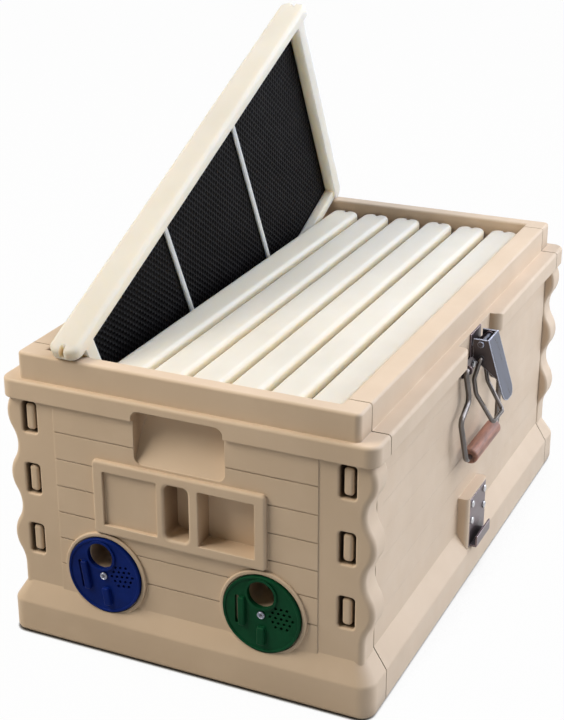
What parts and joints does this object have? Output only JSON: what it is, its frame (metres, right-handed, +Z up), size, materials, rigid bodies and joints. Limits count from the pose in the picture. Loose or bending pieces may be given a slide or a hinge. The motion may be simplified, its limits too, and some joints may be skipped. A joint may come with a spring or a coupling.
{
  "type": "insulated hive body",
  "caption": "Stackable double-walled hive body of interlocking panels with removable frames, turning entrance discs, toggle latches and carry handles; a frame is propped on the rim.",
  "frame": {"origin": "centre of the bottom rim, on the plane it stands on", "axes": "+Z up, -Y the front with the entrance discs, +X the right side panel seen from the front"},
  "size_m": [0.3838, 0.534, 0.4809],
  "materials": {
    "shell": "satin moulded beige",
    "liner": "satin moulded beige",
    "foam": "matte closed-cell foam",
    "blue_disc": "satin",
    "green_disc": "satin",
    "steel": "bright rolled sheet and wire",
    "grip": "satin brown",
    "frame": "satin ivory",
    "foundation": "matte black cell pattern"
  },
  "bodies": {
    "hive_body": {"front_panel_shell": "shell", "front_panel_liner": "liner", "front_insulation_core": "foam", "back_panel_shell": "shell", "back_panel_liner": "liner", "back_insulation_core": "foam", "left_panel_shell": "shell", "left_panel_liner": "liner", "left_insulation_core": "foam", "right_panel_shell": "shell", "right_panel_liner": "liner", "right_insulation_core": "foam", "disc_pivot_screws": "steel", "left_latch_bracket": "steel", "left_bracket_rivets": "steel", "left_lever_pin": "steel", "left_keeper_plate": "steel", "left_keeper_rivets": "steel", "right_latch_bracket": "steel", "right_bracket_rivets": "steel", "right_lever_pin": "steel", "right_keeper_plate": "steel", "right_keeper_rivets": "steel"},
    "left_disc": {"left_entrance_disc": "blue_disc"},
    "right_disc": {"right_entrance_disc": "green_disc"},
    "left_lever": {"left_latch_lever": "steel"},
    "left_loop": {"left_latch_loop": "steel"},
    "left_handle": {"left_carry_bail": "steel", "left_carry_grip": "grip"},
    "right_lever": {"right_latch_lever": "steel"},
    "right_loop": {"right_latch_loop": "steel"},
    "right_handle": {"right_carry_bail": "steel", "right_carry_grip": "grip"},
    "frame_1_body": {"frame_1": "frame", "foundation_1": "foundation"},
    "frame_2_body": {"frame_2": "frame", "foundation_2": "foundation"},
    "frame_3_body": {"frame_3": "frame", "foundation_3": "foundation"},
    "frame_4_body": {"frame_4": "frame", "foundation_4": "foundation"},
    "frame_5_body": {"frame_5": "frame", "foundation_5": "foundation"},
    "frame_6_body": {"frame_6": "frame", "foundation_6": "foundation"},
    "frame_7_body": {"frame_7": "frame", "foundation_7": "foundation"}
  },
  "joints": [
    {"name": "left_disc_turn", "type": "hinge", "parent": "hive_body", "child": "left_disc", "pos_m": [-0.0742, -0.2635, 0.0736], "axis": [0, -1, 0], "continuous": true},
    {"name": "right_disc_turn", "type": "hinge", "parent": "hive_body", "child": "right_disc", "pos_m": [0.0718, -0.2635, 0.0736], "axis": [0, -1, 0], "continuous": true},
    {"name": "left_lever_hinge", "type": "hinge", "parent": "hive_body", "child": "left_lever", "pos_m": [-0.1675, 0, 0.231], "axis": [0, 1, 0], "range_deg": [0, 150]},
    {"name": "left_loop_hinge", "type": "hinge", "parent": "left_lever", "child": "left_loop", "pos_m": [-0.1685, 0, 0.218], "axis": [0, -1, 0], "range_deg": [-170, 0]},
    {"name": "left_handle_hinge", "type": "hinge", "parent": "hive_body", "child": "left_handle", "pos_m": [-0.1625, 0, 0.213], "axis": [0, 1, 0], "range_deg": [0, 120]},
    {"name": "right_lever_hinge", "type": "hinge", "parent": "hive_body", "child": "right_lever", "pos_m": [0.1675, 0, 0.231], "axis": [0, -1, 0], "range_deg": [0, 150]},
    {"name": "right_loop_hinge", "type": "hinge", "parent": "right_lever", "child": "right_loop", "pos_m": [0.1685, 0, 0.218], "axis": [0, 1, 0], "range_deg": [-170, 0]},
    {"name": "right_handle_hinge", "type": "hinge", "parent": "hive_body", "child": "right_handle", "pos_m": [0.1625, 0, 0.213], "axis": [0, -1, 0], "range_deg": [0, 120]},
    {"name": "frame_1_lift", "type": "slide", "parent": "hive_body", "child": "frame_1_body", "axis": [0, 0, 1], "range_m": [0, 0.15]},
    {"name": "frame_2_lift", "type": "slide", "parent": "hive_body", "child": "frame_2_body", "axis": [0, 0, 1], "range_m": [0, 0.25]},
    {"name": "frame_3_lift", "type": "slide", "parent": "hive_body", "child": "frame_3_body", "axis": [0, 0, 1], "range_m": [0, 0.25]},
    {"name": "frame_4_lift", "type": "slide", "parent": "hive_body", "child": "frame_4_body", "axis": [0, 0, 1], "range_m": [0, 0.25]},
    {"name": "frame_5_lift", "type": "slide", "parent": "hive_body", "child": "frame_5_body", "axis": [0, 0, 1], "range_m": [0, 0.25]},
    {"name": "frame_6_lift", "type": "slide", "parent": "hive_body", "child": "frame_6_body", "axis": [0, 0, 1], "range_m": [0, 0.25]},
    {"name": "frame_7_lift", "type": "slide", "parent": "hive_body", "child": "frame_7_body", "axis": [0, 0, 1], "range_m": [0, 0.25]}
  ]
}
